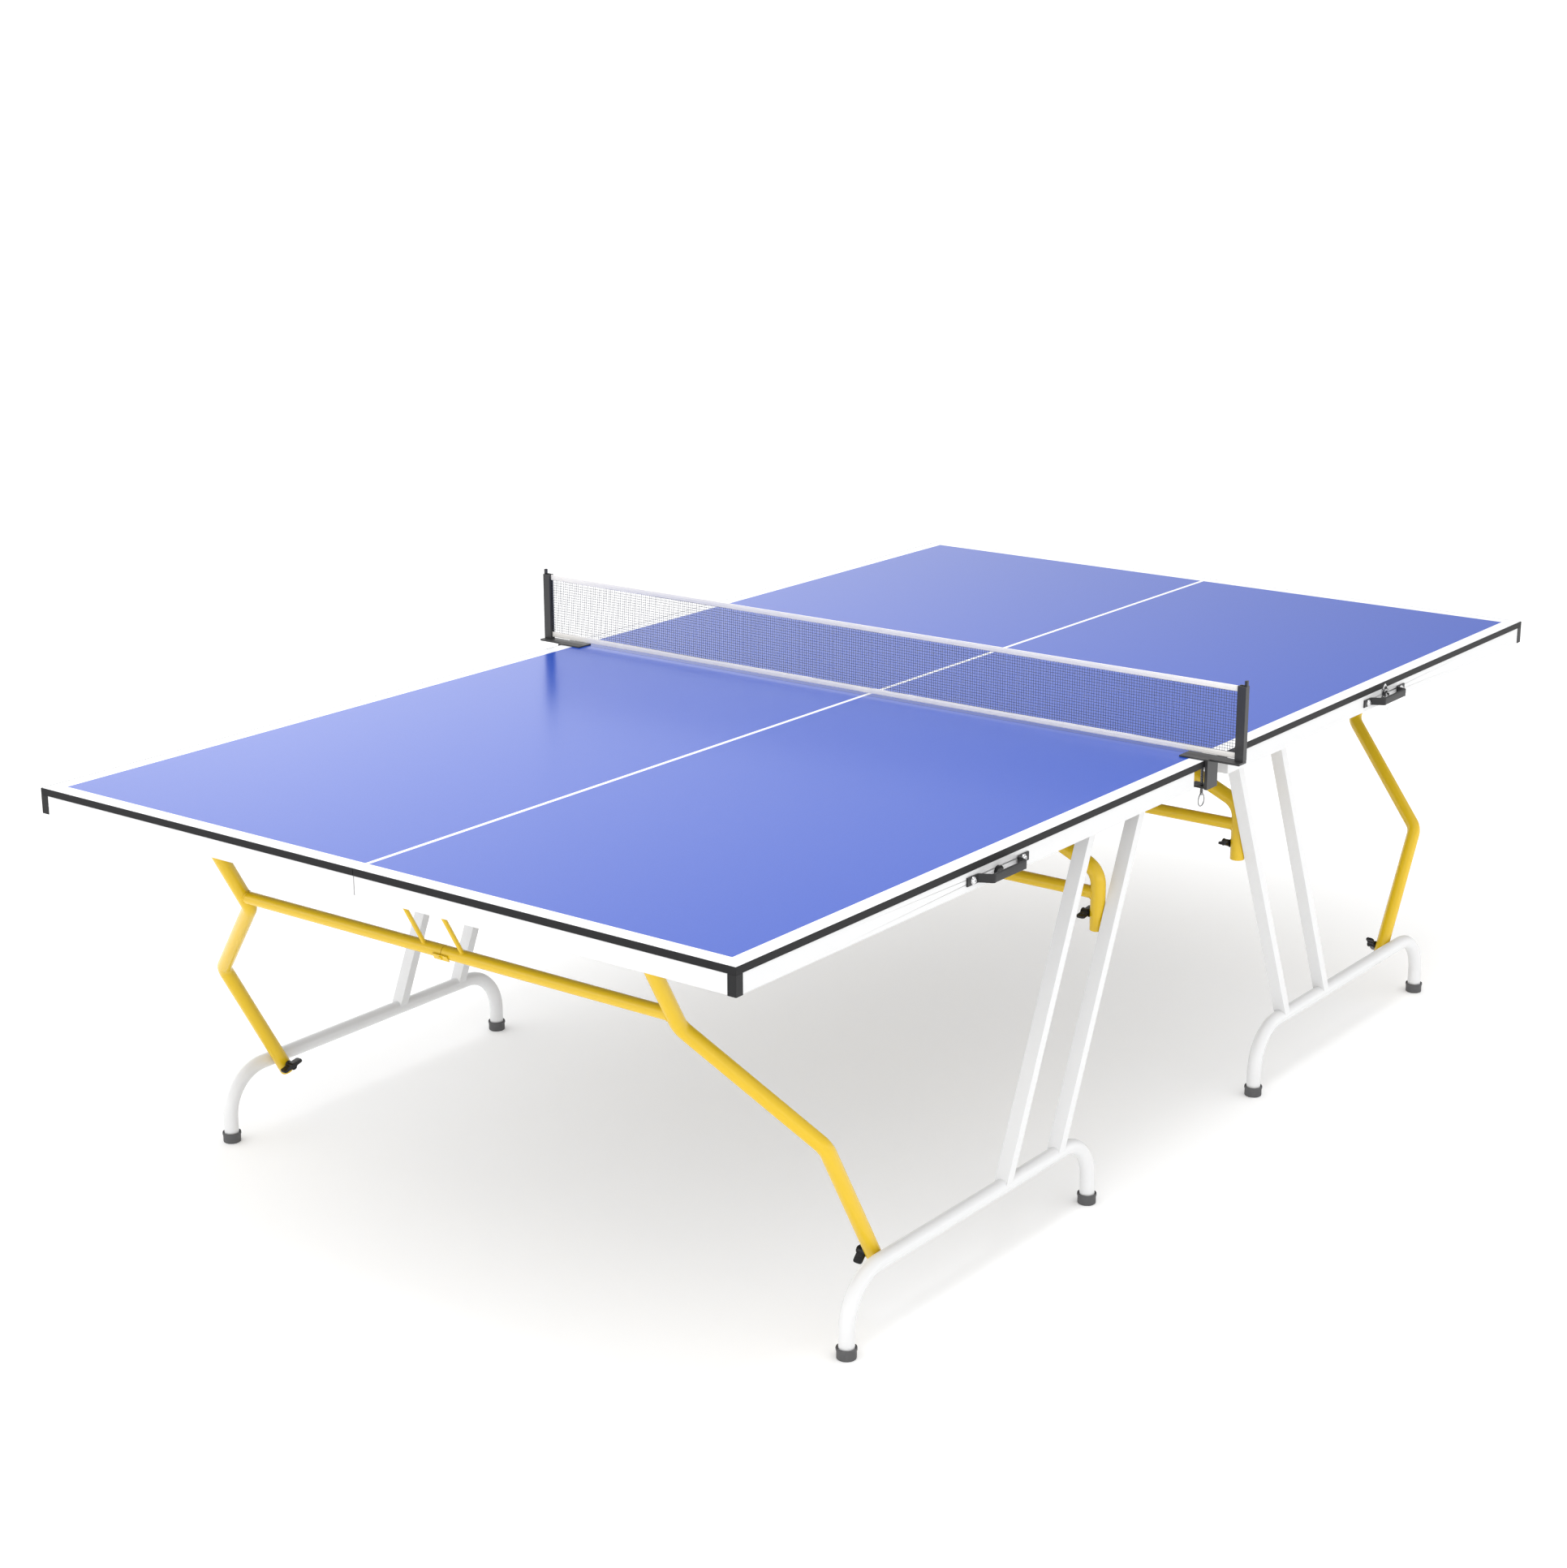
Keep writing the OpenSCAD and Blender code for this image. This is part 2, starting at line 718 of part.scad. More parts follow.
module latch_lever() {
    color("silver")
    translate([handle_x, apron_face + latch_pin_y, handle_z]) {
        rotate([0, 90, 0]) translate([0, 0, -9]) cylinder(d = latch_pin_d, h = 18);
        span([-5, -1.5, 0], [5, 1.5, 13]);
        span([-5, 0, 11], [5, 5, 14]);
    }
}

module latch_bases() {
    at(NEAR, LEFT) latch_base();
    at(FAR, RIGHT) latch_base();
}

module latch_keepers() {
    color("dimgray")
    for (q = [[NEAR, RIGHT], [FAR, LEFT]]) at(q[0], q[1])
        translate([handle_x, apron_face, handle_z - 4]) rotate([-90, 0, 0]) cylinder(r = 10, h = 6);
}

// ---- output ----

at(NEAR, LEFT) board();  // near_left_board
at(NEAR, RIGHT) board();  // near_right_board
at(FAR, LEFT) board();  // far_left_board
at(FAR, RIGHT) board();  // far_right_board
at(NEAR, LEFT) edge_band();  // near_left_edge_band
at(NEAR, RIGHT) edge_band();  // near_right_edge_band
at(FAR, LEFT) edge_band();  // far_left_edge_band
at(FAR, RIGHT) edge_band();  // far_right_edge_band
at(NEAR, LEFT) apron();  // near_left_apron
at(NEAR, RIGHT) apron();  // near_right_apron
at(FAR, LEFT) apron();  // far_left_apron
at(FAR, RIGHT) apron();  // far_right_apron
corner_protectors();
at(NEAR, LEFT) leg_frame();  // near_left_leg_frame
at(NEAR, RIGHT) leg_frame();  // near_right_leg_frame
at(FAR, LEFT) leg_frame();  // far_left_leg_frame
at(FAR, RIGHT) leg_frame();  // far_right_leg_frame
foot_caps();
leg_brackets();
leg_pivot_bolts();
brace_brackets();
brace_pins();
seam_hinges();
at(NEAR, LEFT) outer_brace();  // near_outer_brace_left
at(NEAR, RIGHT) outer_brace();  // near_outer_brace_right
at(NEAR, LEFT) outer_coupler();  // near_outer_coupler
at(NEAR, LEFT) inner_brace();  // near_inner_brace_left
at(NEAR, RIGHT) inner_brace();  // near_inner_brace_right
at(NEAR, LEFT) inner_coupler();  // near_inner_coupler
at(FAR, LEFT) outer_brace();  // far_outer_brace_left
at(FAR, RIGHT) outer_brace();  // far_outer_brace_right
at(FAR, LEFT) outer_coupler();  // far_outer_coupler
at(FAR, LEFT) inner_brace();  // far_inner_brace_left
at(FAR, RIGHT) inner_brace();  // far_inner_brace_right
at(FAR, LEFT) inner_coupler();  // far_inner_coupler
at(NEAR, LEFT) outer_knob(outer_left_turn);  // near_outer_knob_left
at(NEAR, RIGHT) outer_knob(outer_right_turn);  // near_outer_knob_right
at(NEAR, LEFT) inner_knob();  // near_inner_knob_left
at(NEAR, RIGHT) inner_knob();  // near_inner_knob_right
at(FAR, LEFT) outer_knob(outer_left_turn);  // far_outer_knob_left
at(FAR, RIGHT) outer_knob(outer_right_turn);  // far_outer_knob_right
at(FAR, LEFT) inner_knob();  // far_inner_knob_left
at(FAR, RIGHT) inner_knob();  // far_inner_knob_right
net();
at(FAR, LEFT) net_post();  // net_post_left
at(FAR, RIGHT) net_post();  // net_post_right
at(FAR, LEFT) net_clamp();  // net_clamp_left
at(FAR, RIGHT) net_clamp();  // net_clamp_right
at(FAR, LEFT) clamp_screw();  // clamp_screw_left
at(FAR, RIGHT) clamp_screw();  // clamp_screw_right
at(NEAR, LEFT) handle();  // near_left_handle
at(NEAR, RIGHT) handle();  // near_right_handle
at(FAR, LEFT) handle();  // far_left_handle
at(FAR, RIGHT) handle();  // far_right_handle
handle_screws();
latch_bases();
at(NEAR, LEFT) latch_lever();  // near_latch_lever
at(FAR, RIGHT) latch_lever();  // far_latch_lever
latch_keepers();
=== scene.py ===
"""Looks for the ping pong table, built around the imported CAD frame.

All lengths are in metres, in the CAD frame: the origin is on the floor under the
middle of the net, +X runs to the far end, +Y to the left side and +Z up.
"""

import json
import math
import random

import bmesh
import bpy
from mathutils import Matrix, Vector


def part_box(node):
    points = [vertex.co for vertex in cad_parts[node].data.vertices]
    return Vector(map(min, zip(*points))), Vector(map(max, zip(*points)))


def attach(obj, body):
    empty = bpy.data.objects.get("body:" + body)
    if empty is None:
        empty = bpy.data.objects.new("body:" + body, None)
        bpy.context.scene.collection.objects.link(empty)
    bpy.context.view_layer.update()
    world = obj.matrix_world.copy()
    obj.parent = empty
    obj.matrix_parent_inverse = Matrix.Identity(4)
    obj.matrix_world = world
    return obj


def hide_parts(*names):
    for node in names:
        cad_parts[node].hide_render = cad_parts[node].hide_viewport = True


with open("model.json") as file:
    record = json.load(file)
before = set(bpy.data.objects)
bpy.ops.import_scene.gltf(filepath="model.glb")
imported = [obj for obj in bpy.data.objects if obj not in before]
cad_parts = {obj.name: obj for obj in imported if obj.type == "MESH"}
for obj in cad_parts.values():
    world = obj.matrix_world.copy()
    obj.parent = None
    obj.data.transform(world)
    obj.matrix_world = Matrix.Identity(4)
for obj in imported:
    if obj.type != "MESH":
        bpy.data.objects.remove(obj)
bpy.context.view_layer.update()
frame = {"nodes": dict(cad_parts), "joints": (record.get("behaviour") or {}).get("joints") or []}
NODES = frame["nodes"]
JOINTS = {joint["name"]: joint for joint in frame["joints"]}

NEAR, FAR = -1, 1
LEFT, RIGHT = 1, -1
END_NAMES = {NEAR: "near", FAR: "far"}
SIDE_NAMES = {LEFT: "left", RIGHT: "right"}
QUARTERS = [(end, side) for end in (NEAR, FAR) for side in (LEFT, RIGHT)]

# ---- sizes that the looks share with the CAD model ----

HALF_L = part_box("far_left_edge_band")[1].x
HALF_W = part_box("far_left_edge_band")[1].y
TOP_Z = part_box("far_left_board")[1].z
BOARD_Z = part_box("far_left_board")[0].z
BAND_T = 0.002
LEG_R = 0.0135
BAR_R = 0.0115
TUBE_WALL = 0.0015
HALF_SEAM = 0.0005

# ---- mesh helpers ----


def make_piece(name, shape, material, body, stands_for=(), smooth_deg=40):
    """A mesh piece from (points, faces), riding on a body."""
    points, faces = shape
    mesh = bpy.data.meshes.new(name)
    mesh.from_pydata([tuple(p) for p in points], [], [tuple(f) for f in faces])
    mesh.validate()
    mesh.shade_smooth()
    mesh.set_sharp_from_angle(angle=math.radians(smooth_deg))
    mesh.materials.append(material)
    piece = bpy.data.objects.new(name, mesh)
    bpy.context.scene.collection.objects.link(piece)
    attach(piece, body)
    if stands_for:
        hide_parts(*stands_for)
    return piece


def joined(*shapes):
    """The shapes as one, their points and faces listed together."""
    points, faces = [], []
    for shape_points, shape_faces in shapes:
        base = len(points)
        points += list(shape_points)
        faces += [tuple(base + i for i in face) for face in shape_faces]
    return points, faces


def placed(shape, place):
    """The shape with every point moved by place, turned inside out if place mirrors."""
    points, faces = shape
    origin = place(Vector((0, 0, 0)))
    axes = [place(Vector(axis)) - origin for axis in ((1, 0, 0), (0, 1, 0), (0, 0, 1))]
    mirrored = axes[0].cross(axes[1]).dot(axes[2]) < 0
    moved = [place(Vector(p)) for p in points]
    if mirrored:
        faces = [tuple(reversed(face)) for face in faces]
    return moved, faces


def bridged(rings):
    """Faces between closed rings of equal length, each a list of points."""
    count = len(rings[0])
    points = [p for ring in rings for p in ring]
    faces = []
    for row in range(len(rings) - 1):
        for i in range(count):
            j = (i + 1) % count
            low, high = row * count, (row + 1) * count
            faces.append((low + i, low + j, high + j, high + i))
    return points, faces


def capped(rings):
    """Rings bridged into a closed solid with flat ends."""
    points, faces = bridged(rings)
    count = len(rings[0])
    last = len(points) - count
    faces.append(tuple(reversed(range(count))))
    faces.append(tuple(last + i for i in range(count)))
    return points, faces


def angles_of(count):
    return [2 * math.pi * i / count for i in range(count)]


def circle(radius, count=32):
    return [(radius * math.cos(angle), radius * math.sin(angle)) for angle in angles_of(count)]


def lathed(profile, count=40):
    """A solid turned about Z from (radius, height) points, with flat ends."""
    rings = [[Vector((x, y, z)) for x, y in circle(radius, count)] for radius, z in profile]
    return capped(rings)


def rounded_rect(width, depth, radius, steps=4):
    """Outline of a rounded rectangle, counter-clockwise."""
    outline = []
    for quadrant in range(4):
        sx = 1 if quadrant in (0, 3) else -1
        sy = 1 if quadrant in (0, 1) else -1
        for step in range(steps + 1):
            angle = math.radians(90 * quadrant + 90 * step / steps)
            outline.append(
                (
                    sx * (width / 2 - radius) + radius * math.cos(angle),
                    sy * (depth / 2 - radius) + radius * math.sin(angle),
                )
            )
    return outline


def rounded_block(width, depth, height, corner, ease):
    """A block with rounded corners and eased edges, its bottom at z = 0."""
    steps = [(0, ease), (ease * 0.3, ease * 0.3), (ease, 0)]
    levels = steps + [(height - z, inset) for z, inset in reversed(steps)]
    rings = []
    for z, inset in levels:
        outline = rounded_rect(width - 2 * inset, depth - 2 * inset, corner)
        rings.append([Vector((x, y, z)) for x, y in outline])
    return capped(rings)


def swept(centres, section, side, closed=False):
    """A section of (x, y) points swept along centres.

    side is the direction of the section's y: one vector, or a list with one for each centre.
    """
    rings = []
    count = len(centres)
    for i, centre in enumerate(centres):
        before = centres[i - 1] if closed or i > 0 else centres[i]
        after = centres[(i + 1) % count] if closed or i < count - 1 else centres[i]
        tangent = (after - before).normalized()
        here = side[i] if isinstance(side, list) else side
        up = (here - tangent * here.dot(tangent)).normalized()
        across = tangent.cross(up)
        rings.append([centre + across * x + up * y for x, y in section])
    if closed:
        return bridged(rings + [rings[0]])
    return capped(rings)


def bent_route(corners, bend_r, steps=12):
    """Points along straight stretches joined by arcs of bend_r, in a plane, as 2D vectors."""
    route = [Vector(corners[0])]
    for before, corner, after in zip(corners, corners[1:], corners[2:]):
        before, corner, after = Vector(before), Vector(corner), Vector(after)
        into, out = (corner - before).normalized(), (after - corner).normalized()
        turn = into.angle_signed(out)
        cut = bend_r * math.tan(abs(turn) / 2)
        start = corner - into * cut
        to_centre = Vector((out.x - into.x, out.y - into.y)).normalized()
        centre = corner + to_centre * (bend_r / math.cos(turn / 2))
        spoke = start - centre
        for step in range(steps + 1):
            turned = spoke.copy()
            turned.rotate(Matrix.Rotation(-turn * step / steps, 2))
            route.append(centre + turned)
    route.append(Vector(corners[-1]))
    return route


def outward(shape):
    """The shape with its faces turned to point outwards."""
    mesh = bpy.data.meshes.new("check")
    mesh.from_pydata([tuple(p) for p in shape[0]], [], shape[1])
    solid = bmesh.new()
    solid.from_mesh(mesh)
    bmesh.ops.recalc_face_normals(solid, faces=solid.faces)
    points = [v.co.copy() for v in solid.verts]
    faces = [tuple(v.index for v in face.verts) for face in solid.faces]
    solid.free()
    bpy.data.meshes.remove(mesh)
    return points, faces


# ---- materials ----


def node_material(
    name, color, roughness, metallic=0.0, coat=0.0, coat_roughness=0.05, vary=0.06, cloud_scale=40.0
):
    """A Principled material whose colour and roughness vary a little by noise.

    Returns the material, its tree, its shader, its coordinates node and its colour mix.
    """
    material = bpy.data.materials.new(name)
    material.use_nodes = True
    tree = material.node_tree
    shader = tree.nodes["Principled BSDF"]
    shader.inputs["Metallic"].default_value = metallic
    shader.inputs["Coat Weight"].default_value = coat
    shader.inputs["Coat Roughness"].default_value = coat_roughness
    coords = tree.nodes.new("ShaderNodeTexCoord")
    cloud = tree.nodes.new("ShaderNodeTexNoise")
    cloud.inputs["Scale"].default_value = cloud_scale
    cloud.inputs["Detail"].default_value = 4.0
    tree.links.new(coords.outputs["Object"], cloud.inputs["Vector"])
    mix = tree.nodes.new("ShaderNodeMix")
    mix.data_type = "RGBA"
    mix.inputs["A"].default_value = (*[c * (1 - vary) for c in color], 1)
    mix.inputs["B"].default_value = (*[min(1.0, c * (1 + vary)) for c in color], 1)
    tree.links.new(cloud.outputs["Fac"], mix.inputs["Factor"])
    tree.links.new(mix.outputs["Result"], shader.inputs["Base Color"])
    spread = tree.nodes.new("ShaderNodeMapRange")
    spread.inputs["To Min"].default_value = roughness * 0.95
    spread.inputs["To Max"].default_value = min(1.0, roughness * 1.05)
    tree.links.new(cloud.outputs["Fac"], spread.inputs["Value"])
    tree.links.new(spread.outputs["Result"], shader.inputs["Roughness"])
    return material, tree, shader, coords, mix


def add_bump(tree, shader, coords, scale, distance):
    """A fine noise bump on the shader's normal."""
    grain = tree.nodes.new("ShaderNodeTexNoise")
    grain.inputs["Scale"].default_value = scale
    tree.links.new(coords.outputs["Object"], grain.inputs["Vector"])
    bump = tree.nodes.new("ShaderNodeBump")
    bump.inputs["Distance"].default_value = distance
    bump.inputs["Strength"].default_value = 1.0
    tree.links.new(grain.outputs["Fac"], bump.inputs["Height"])
    tree.links.new(bump.outputs["Normal"], shader.inputs["Normal"])


def powder_coat(name, color, roughness):
    """Sprayed powder coat with a faint orange peel."""
    material, tree, shader, coords, _ = node_material(
        name, color, roughness, coat=0.25, coat_roughness=0.12, vary=0.01
    )
    shader.inputs["Specular IOR Level"].default_value = 0.35
    add_bump(tree, shader, coords, scale=420, distance=0.000004)
    return material


def moulded_plastic(name, color, roughness, grain=900, depth=0.00005, shine=0.3):
    material, tree, shader, coords, _ = node_material(name, color, roughness, vary=0.12)
    shader.inputs["Specular IOR Level"].default_value = shine
    add_bump(tree, shader, coords, scale=grain, distance=depth)
    return material


def plated_steel(name, color, roughness):
    material, tree, shader, coords, _ = node_material(name, color, roughness, metallic=1.0, vary=0.08)
    add_bump(tree, shader, coords, scale=260, distance=0.00003)
    return material


def board_material():
    """Blue playing surface with white border and centre lines, and a plain grey underside."""
    border, half_centre = 0.0295, 0.004
    material, tree, shader, coords, mix = node_material(
        "board_paint", (0.013, 0.067, 0.43), 0.22, vary=0.09, cloud_scale=420.0
    )
    split = tree.nodes.new("ShaderNodeSeparateXYZ")
    tree.links.new(coords.outputs["Object"], split.inputs["Vector"])

    def beyond(axis, limit, operation):
        size = tree.nodes.new("ShaderNodeMath")
        size.operation = "ABSOLUTE"
        tree.links.new(split.outputs[axis], size.inputs[0])
        test = tree.nodes.new("ShaderNodeMath")
        test.operation = operation
        test.inputs[1].default_value = limit
        tree.links.new(size.outputs[0], test.inputs[0])
        return test

    tests = [
        beyond("X", HALF_L - BAND_T - border, "GREATER_THAN"),
        beyond("Y", HALF_W - BAND_T - border, "GREATER_THAN"),
        beyond("Y", half_centre, "LESS_THAN"),
    ]
    line = tests[0]
    for test in tests[1:]:
        either = tree.nodes.new("ShaderNodeMath")
        either.operation = "MAXIMUM"
        tree.links.new(line.outputs[0], either.inputs[0])
        tree.links.new(test.outputs[0], either.inputs[1])
        line = either
    paint = tree.nodes.new("ShaderNodeMix")
    paint.data_type = "RGBA"
    paint.inputs["B"].default_value = (0.86, 0.87, 0.89, 1)
    tree.links.new(line.outputs[0], paint.inputs["Factor"])
    tree.links.new(mix.outputs["Result"], paint.inputs["A"])
    above = tree.nodes.new("ShaderNodeMath")
    above.operation = "GREATER_THAN"
    above.inputs[1].default_value = BOARD_Z + 0.0002
    tree.links.new(split.outputs["Z"], above.inputs[0])
    sides = tree.nodes.new("ShaderNodeMix")
    sides.data_type = "RGBA"
    sides.inputs["A"].default_value = (0.22, 0.22, 0.225, 1)
    tree.links.new(above.outputs[0], sides.inputs["Factor"])
    tree.links.new(paint.outputs["Result"], sides.inputs["B"])
    tree.links.new(sides.outputs["Result"], shader.inputs["Base Color"])
    shader.inputs["IOR"].default_value = 1.5
    add_bump(tree, shader, coords, scale=900, distance=0.000006)
    return material


def woven_fabric(name, color, thread=1500.0):
    material, tree, shader, coords, _ = node_material(name, color, 0.85, vary=0.05)
    shader.inputs["Sheen Weight"].default_value = 0.3
    shader.inputs["Sheen Roughness"].default_value = 0.5
    waves = []
    for axis in ("Y", "Z"):
        wave = tree.nodes.new("ShaderNodeTexWave")
        wave.bands_direction = axis
        wave.inputs["Scale"].default_value = thread / 20
        wave.inputs["Distortion"].default_value = 0.4
        tree.links.new(coords.outputs["Object"], wave.inputs["Vector"])
        waves.append(wave)
    weave = tree.nodes.new("ShaderNodeMath")
    weave.operation = "MAXIMUM"
    tree.links.new(waves[0].outputs["Fac"], weave.inputs[0])
    tree.links.new(waves[1].outputs["Fac"], weave.inputs[1])
    bump = tree.nodes.new("ShaderNodeBump")
    bump.inputs["Distance"].default_value = 0.0003
    tree.links.new(weave.outputs[0], bump.inputs["Height"])
    tree.links.new(bump.outputs["Normal"], shader.inputs["Normal"])
    return material


BOARD = board_material()
BAND = moulded_plastic("edge_band_plastic", (0.016, 0.016, 0.017), 0.45, shine=0.12)
CORNER = moulded_plastic("corner_plastic", (0.012, 0.012, 0.013), 0.35, shine=0.2)
WHITE = powder_coat("white_powder_coat", (0.73, 0.732, 0.735), 0.38)
YELLOW = powder_coat("yellow_powder_coat", (0.70, 0.46, 0.009), 0.26)
RUBBER = moulded_plastic("cap_rubber", (0.09, 0.09, 0.092), 0.6, grain=500, depth=0.0001)
ZINC = plated_steel("zinc_plate", (0.55, 0.55, 0.56), 0.3)
CHROME = plated_steel("bright_plate", (0.66, 0.66, 0.67), 0.18)
WIRE = plated_steel("wire_steel", (0.26, 0.26, 0.265), 0.25)
KNOB_BLACK = moulded_plastic("knob_plastic", (0.008, 0.008, 0.009), 0.22, grain=1200, depth=0.00002)
POST_BLACK = powder_coat("black_powder_coat", (0.022, 0.022, 0.023), 0.45)
HANDLE_BLACK = moulded_plastic("handle_plastic", (0.02, 0.02, 0.021), 0.38)
TAPE = woven_fabric("net_tape_fabric", (0.72, 0.70, 0.67))
THREAD = woven_fabric("net_thread_fabric", (0.03, 0.038, 0.07), thread=6000.0)

# ---- materials and eased edges on the CAD nodes that stay ----


def ease_edges(node, width, angle_deg=35):
    """Welds the node's split edges and rounds its sharp ones."""
    weld = node.modifiers.new("weld", "WELD")
    weld.merge_threshold = 0.00002
    bevel = node.modifiers.new("ease", "BEVEL")
    bevel.width = width
    bevel.segments = 3
    bevel.limit_method = "ANGLE"
    bevel.angle_limit = math.radians(angle_deg)
    bevel.harden_normals = True


def dress(names, material, ease=0.0):
    for name in names:
        node = NODES[name]
        node.data.materials.clear()
        node.data.materials.append(material)
        if ease:
            ease_edges(node, ease)


def quarter_names(pattern):
    return [pattern.format(end=END_NAMES[end], side=SIDE_NAMES[side]) for end, side in QUARTERS]


dress(quarter_names("{end}_{side}_board"), BOARD)
dress(quarter_names("{end}_{side}_edge_band"), BAND, 0.0004)
dress(quarter_names("{end}_{side}_apron"), WHITE, 0.0012)
dress(["corner_protectors"], CORNER, 0.0005)
dress(quarter_names("{end}_{side}_leg_frame"), WHITE)
dress(["leg_brackets", "brace_brackets", "seam_hinges"], ZINC, 0.0004)
dress(["leg_pivot_bolts", "brace_pins"], ZINC)
dress([f"{end}_{part}_coupler" for end in ("near", "far") for part in ("outer", "inner")], YELLOW)
dress(["net_post_left", "net_post_right"], POST_BLACK, 0.0006)
dress(["net_clamp_left", "net_clamp_right"], POST_BLACK, 0.0008)
dress(["latch_keepers"], KNOB_BLACK, 0.0012)

# ---- yellow braces ----

BRACES = {
    "outer": {"upper": 0.206, "lower": 0.281, "bar": 0.179, "bend": 0.035, "past_knob": 0.018},
    "inner": {"upper": 0.032, "lower": 0.108, "bar": 0.163, "bend": 0.040, "past_knob": 0.028},
}
ROD_Y, ROD_R, EYE_R, PIN_R = 0.043, 0.004, 0.008, 0.004
LEG_TOP_S = -0.009
LEG_TOP_Y = 0.484
TUBE_SIDES = 40


def brace_frame(end, part, side):
    """The move from (distance from the seam, down the brace, outwards) to the CAD frame, and two sizes."""
    hinge = Vector(JOINTS[f"{END_NAMES[end]}_{part}_fold"]["pos_m"])
    knob = Vector(JOINTS[f"{END_NAMES[end]}_{part}_knob_{SIDE_NAMES[side]}_turn"]["pos_m"])
    down = Vector((knob.x - hinge.x, 0, knob.z - hinge.z))
    knob_s = down.length
    down.normalize()
    out = Vector((-end * down.z, 0, end * down.x))
    leg_y = abs(knob.y) + LEG_R

    def to_cad(point):
        return hinge + down * point[1] + out * point[2] + Vector((0, side * point[0], 0))

    return to_cad, knob_s, leg_y


def swept_ring(centre, tangent, radius, side):
    across = tangent.cross(side)
    return [centre + across * x + side * y for x, y in circle(radius, TUBE_SIDES)]


def swept_rings(centres, radius, side):
    rings = []
    for i, centre in enumerate(centres):
        before, after = centres[max(i - 1, 0)], centres[min(i + 1, len(centres) - 1)]
        rings.append(swept_ring(centre, (after - before).normalized(), radius, side))
    return rings


def open_tube(centres, outer_r, inner_r, depth=0.05):
    """A tube along centres in the brace plane, hollow for depth at its last end."""
    side = Vector((0, 0, 1))
    tail = (centres[-1] - centres[-2]).normalized()
    lip = 0.0004
    rim = [
        swept_ring(centres[-1], tail, inner_r + lip, side),
        swept_ring(centres[-1] - tail * lip, tail, inner_r, side),
        swept_ring(centres[-1] - tail * depth, tail, inner_r, side),
    ]
    return capped(swept_rings(centres, outer_r, side) + rim)


def weld_bead(centre_at, radial_at, radius=0.0016, count=48):
    """A lumpy bead along a closed seam given by angle."""
    centres, radials = [], []
    for i in range(count):
        angle = 2 * math.pi * i / count
        centres.append(centre_at(angle))
        radials.append(radial_at(angle))
    return swept(centres, circle(radius, 8), radials, closed=True)


def brace_shape(part, knob_s, leg_y):
    sizes = BRACES[part]
    end_s = knob_s + sizes["past_knob"]
    corners = [
        (LEG_TOP_Y, LEG_TOP_S),
        (LEG_TOP_Y, sizes["upper"]),
        (leg_y, end_s - sizes["lower"]),
        (leg_y, end_s),
    ]
    leg = [Vector((p.x, p.y, 0)) for p in bent_route(corners, sizes["bend"])]
    bar_s = sizes["bar"]
    bar_x = LEG_TOP_Y if part == "outer" else leg_y

    def coped(angle, radius, spread=0.0):
        lift = radius * math.sin(angle)
        reach = bar_x - math.sqrt(LEG_R**2 - lift**2) + spread
        return Vector((reach, bar_s + radius * math.cos(angle), lift))

    bore_r = BAR_R - TUBE_WALL
    seam_end = [
        [Vector((HALF_SEAM + x, bar_s + r * math.cos(a), r * math.sin(a))) for a in angles_of(TUBE_SIDES)]
        for x, r in ((0.04, bore_r), (0.0003, bore_r), (0, BAR_R - 0.0004), (0.0004, BAR_R))
    ]
    leg_end = [coped(a, BAR_R, 0.001) for a in angles_of(TUBE_SIDES)]
    bar = capped(seam_end + [leg_end])
    bar_bead = weld_bead(
        lambda a: coped(a, BAR_R, -0.0002),
        lambda a: Vector((0, math.cos(a), math.sin(a))),
    )
    rod_end = bar_s - BAR_R + 0.002
    rod = capped(
        [
            [Vector((ROD_Y + x, s, y)) for x, y in circle(ROD_R, 24)]
            for s in (EYE_R - 0.002, rod_end)
        ]
    )

    def rod_seam(angle):
        x, w = ROD_R * math.cos(angle), ROD_R * math.sin(angle)
        return Vector((ROD_Y + x, bar_s - math.sqrt(BAR_R**2 - w**2), w))

    rod_bead = weld_bead(rod_seam, lambda a: Vector((math.cos(a), 0, math.sin(a))), 0.0011, 24)
    eye_rings = []
    for x, r in (
        (-LEG_R, PIN_R + 0.0002), (-LEG_R, EYE_R - 0.0005), (-LEG_R + 0.0005, EYE_R),
        (LEG_R - 0.0005, EYE_R), (LEG_R, EYE_R - 0.0005), (LEG_R, PIN_R + 0.0002),
    ):
        eye_rings.append([Vector((ROD_Y + x, r * math.cos(a), r * math.sin(a))) for a in angles_of(28)])
    eye = bridged(eye_rings + [eye_rings[0]])
    return joined(open_tube(leg, LEG_R, LEG_R - TUBE_WALL), bar, bar_bead, rod, rod_bead, eye)


for end, side in QUARTERS:
    for part in BRACES:
        to_cad, knob_s, leg_y = brace_frame(end, part, side)
        node_name = f"{END_NAMES[end]}_{part}_brace_{SIDE_NAMES[side]}"
        shape = outward(placed(brace_shape(part, knob_s, leg_y), to_cad))
        make_piece(node_name + "_tube", shape, YELLOW, f"{END_NAMES[end]}_{part}_brace", [node_name])

# ---- wing knobs ----

KNOB_REACH = 0.0178
KNOB_FOOT = 0.0005
WING_SPAN, WING_W, WING_T = 0.0455, 0.0165, 0.005
HUB_R, STUD_R = 0.0072, 0.004
WEB_T = WING_T + 0.0028


def wing_direction(node, centre):
    """Direction from the knob's axis to its wing's tip, square to Y."""
    reach = [Vector((v.co.x - centre.x, 0, v.co.z - centre.z)) for v in node.data.vertices]
    return max(reach, key=lambda offset: offset.length).normalized()


